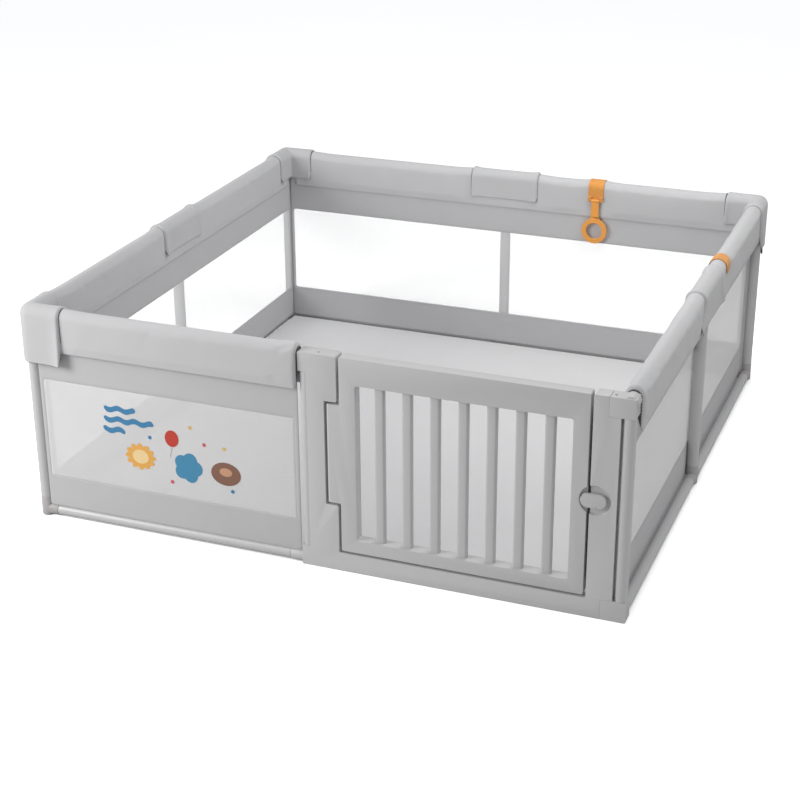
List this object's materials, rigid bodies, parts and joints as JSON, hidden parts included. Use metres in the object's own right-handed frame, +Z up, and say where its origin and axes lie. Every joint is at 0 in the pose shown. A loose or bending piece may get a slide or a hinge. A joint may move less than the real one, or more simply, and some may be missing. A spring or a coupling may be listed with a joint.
{
  "type": "baby playpen",
  "caption": "Square baby playpen with padded rails, fabric and mesh walls, a floor mat, a hinged slatted gate with a turn latch, and pull-up rings.",
  "frame": {"origin": "on the floor under the middle of the footprint", "axes": "+X to the right along the gate side, +Y from the gate side to the back, +Z up"},
  "size_m": [1.8252, 1.8252, 0.6736],
  "materials": {
    "moulded_plastic": "fine moulded grain, light grey",
    "painted_tube": "satin powder coat, light grey",
    "oxford_cloth": "plain-weave oxford cloth, light grey",
    "padded_sleeve": "oxford cloth over foam, light grey",
    "mesh_cloth": "fine white mesh between light grey bands",
    "mat_cloth": "coated oxford cloth over thin foam, light grey",
    "ring_plastic": "moulded, soft orange",
    "strap_webbing": "woven webbing, soft orange",
    "bright_steel": "bright"
  },
  "bodies": {
    "pen": {"post_front_left": "painted_tube", "post_left_mid": "painted_tube", "post_back_left": "painted_tube", "post_back_mid": "painted_tube", "post_back_right": "painted_tube", "post_right_mid": "painted_tube", "post_front_right": "painted_tube", "post_gate_left": "painted_tube", "top_rail_front": "painted_tube", "top_rail_left_front": "painted_tube", "top_rail_left_back": "painted_tube", "top_rail_back_left": "painted_tube", "top_rail_back_right": "painted_tube", "top_rail_right_back": "painted_tube", "top_rail_right_front": "painted_tube", "bottom_rail_front": "painted_tube", "bottom_rail_left_front": "painted_tube", "bottom_rail_left_back": "painted_tube", "bottom_rail_back_left": "painted_tube", "bottom_rail_back_right": "painted_tube", "bottom_rail_right_back": "painted_tube", "bottom_rail_right_front": "painted_tube", "top_connector_front_left": "moulded_plastic", "top_connector_left_mid": "moulded_plastic", "top_connector_back_left": "moulded_plastic", "top_connector_back_mid": "moulded_plastic", "top_connector_back_right": "moulded_plastic", "top_connector_right_mid": "moulded_plastic", "top_connector_front_right": "moulded_plastic", "bottom_connector_front_left": "moulded_plastic", "bottom_connector_left_mid": "moulded_plastic", "bottom_connector_back_left": "moulded_plastic", "bottom_connector_back_mid": "moulded_plastic", "bottom_connector_back_right": "moulded_plastic", "bottom_connector_right_mid": "moulded_plastic", "bottom_connector_front_right": "moulded_plastic", "rail_pad_front": "padded_sleeve", "rail_pad_left": "padded_sleeve", "rail_pad_back": "padded_sleeve", "rail_pad_right": "padded_sleeve", "joint_cover_left": "oxford_cloth", "joint_cover_back": "oxford_cloth", "joint_cover_right": "oxford_cloth", "corner_cap_front_left": "oxford_cloth", "corner_cap_back_left": "oxford_cloth", "corner_cap_back_right": "oxford_cloth", "wall_front": "mesh_cloth", "wall_left": "mesh_cloth", "wall_back": "mesh_cloth", "wall_right": "mesh_cloth", "floor_mat": "mat_cloth", "gate_frame": "moulded_plastic", "hinge_rod": "bright_steel", "pull_strap_back": "strap_webbing", "pull_strap_right": "strap_webbing"},
    "door": {"gate_door": "moulded_plastic"},
    "latch": {"latch_knob": "moulded_plastic", "latch_screw": "bright_steel"},
    "ring_back": {"pull_ring_back": "ring_plastic"},
    "ring_right": {"pull_ring_right": "ring_plastic"}
  },
  "joints": [
    {"name": "door_hinge", "type": "hinge", "parent": "pen", "child": "door", "pos_m": [0.06, -0.882, 0.36], "axis": [0, 0, -1], "range_deg": [0, 95]},
    {"name": "latch_turn", "type": "hinge", "parent": "pen", "child": "latch", "pos_m": [0.803, -0.9, 0.35], "axis": [0, 1, 0], "range_deg": [0, 90]},
    {"name": "ring_back_swing", "type": "hinge", "parent": "pen", "child": "ring_back", "pos_m": [0.319, 0.8482, 0.604], "axis": [-1, 0, 0], "range_deg": [0, 120]},
    {"name": "ring_right_swing", "type": "hinge", "parent": "pen", "child": "ring_right", "pos_m": [0.8482, 0.215, 0.604], "axis": [0, 1, 0], "range_deg": [0, 120]}
  ]
}
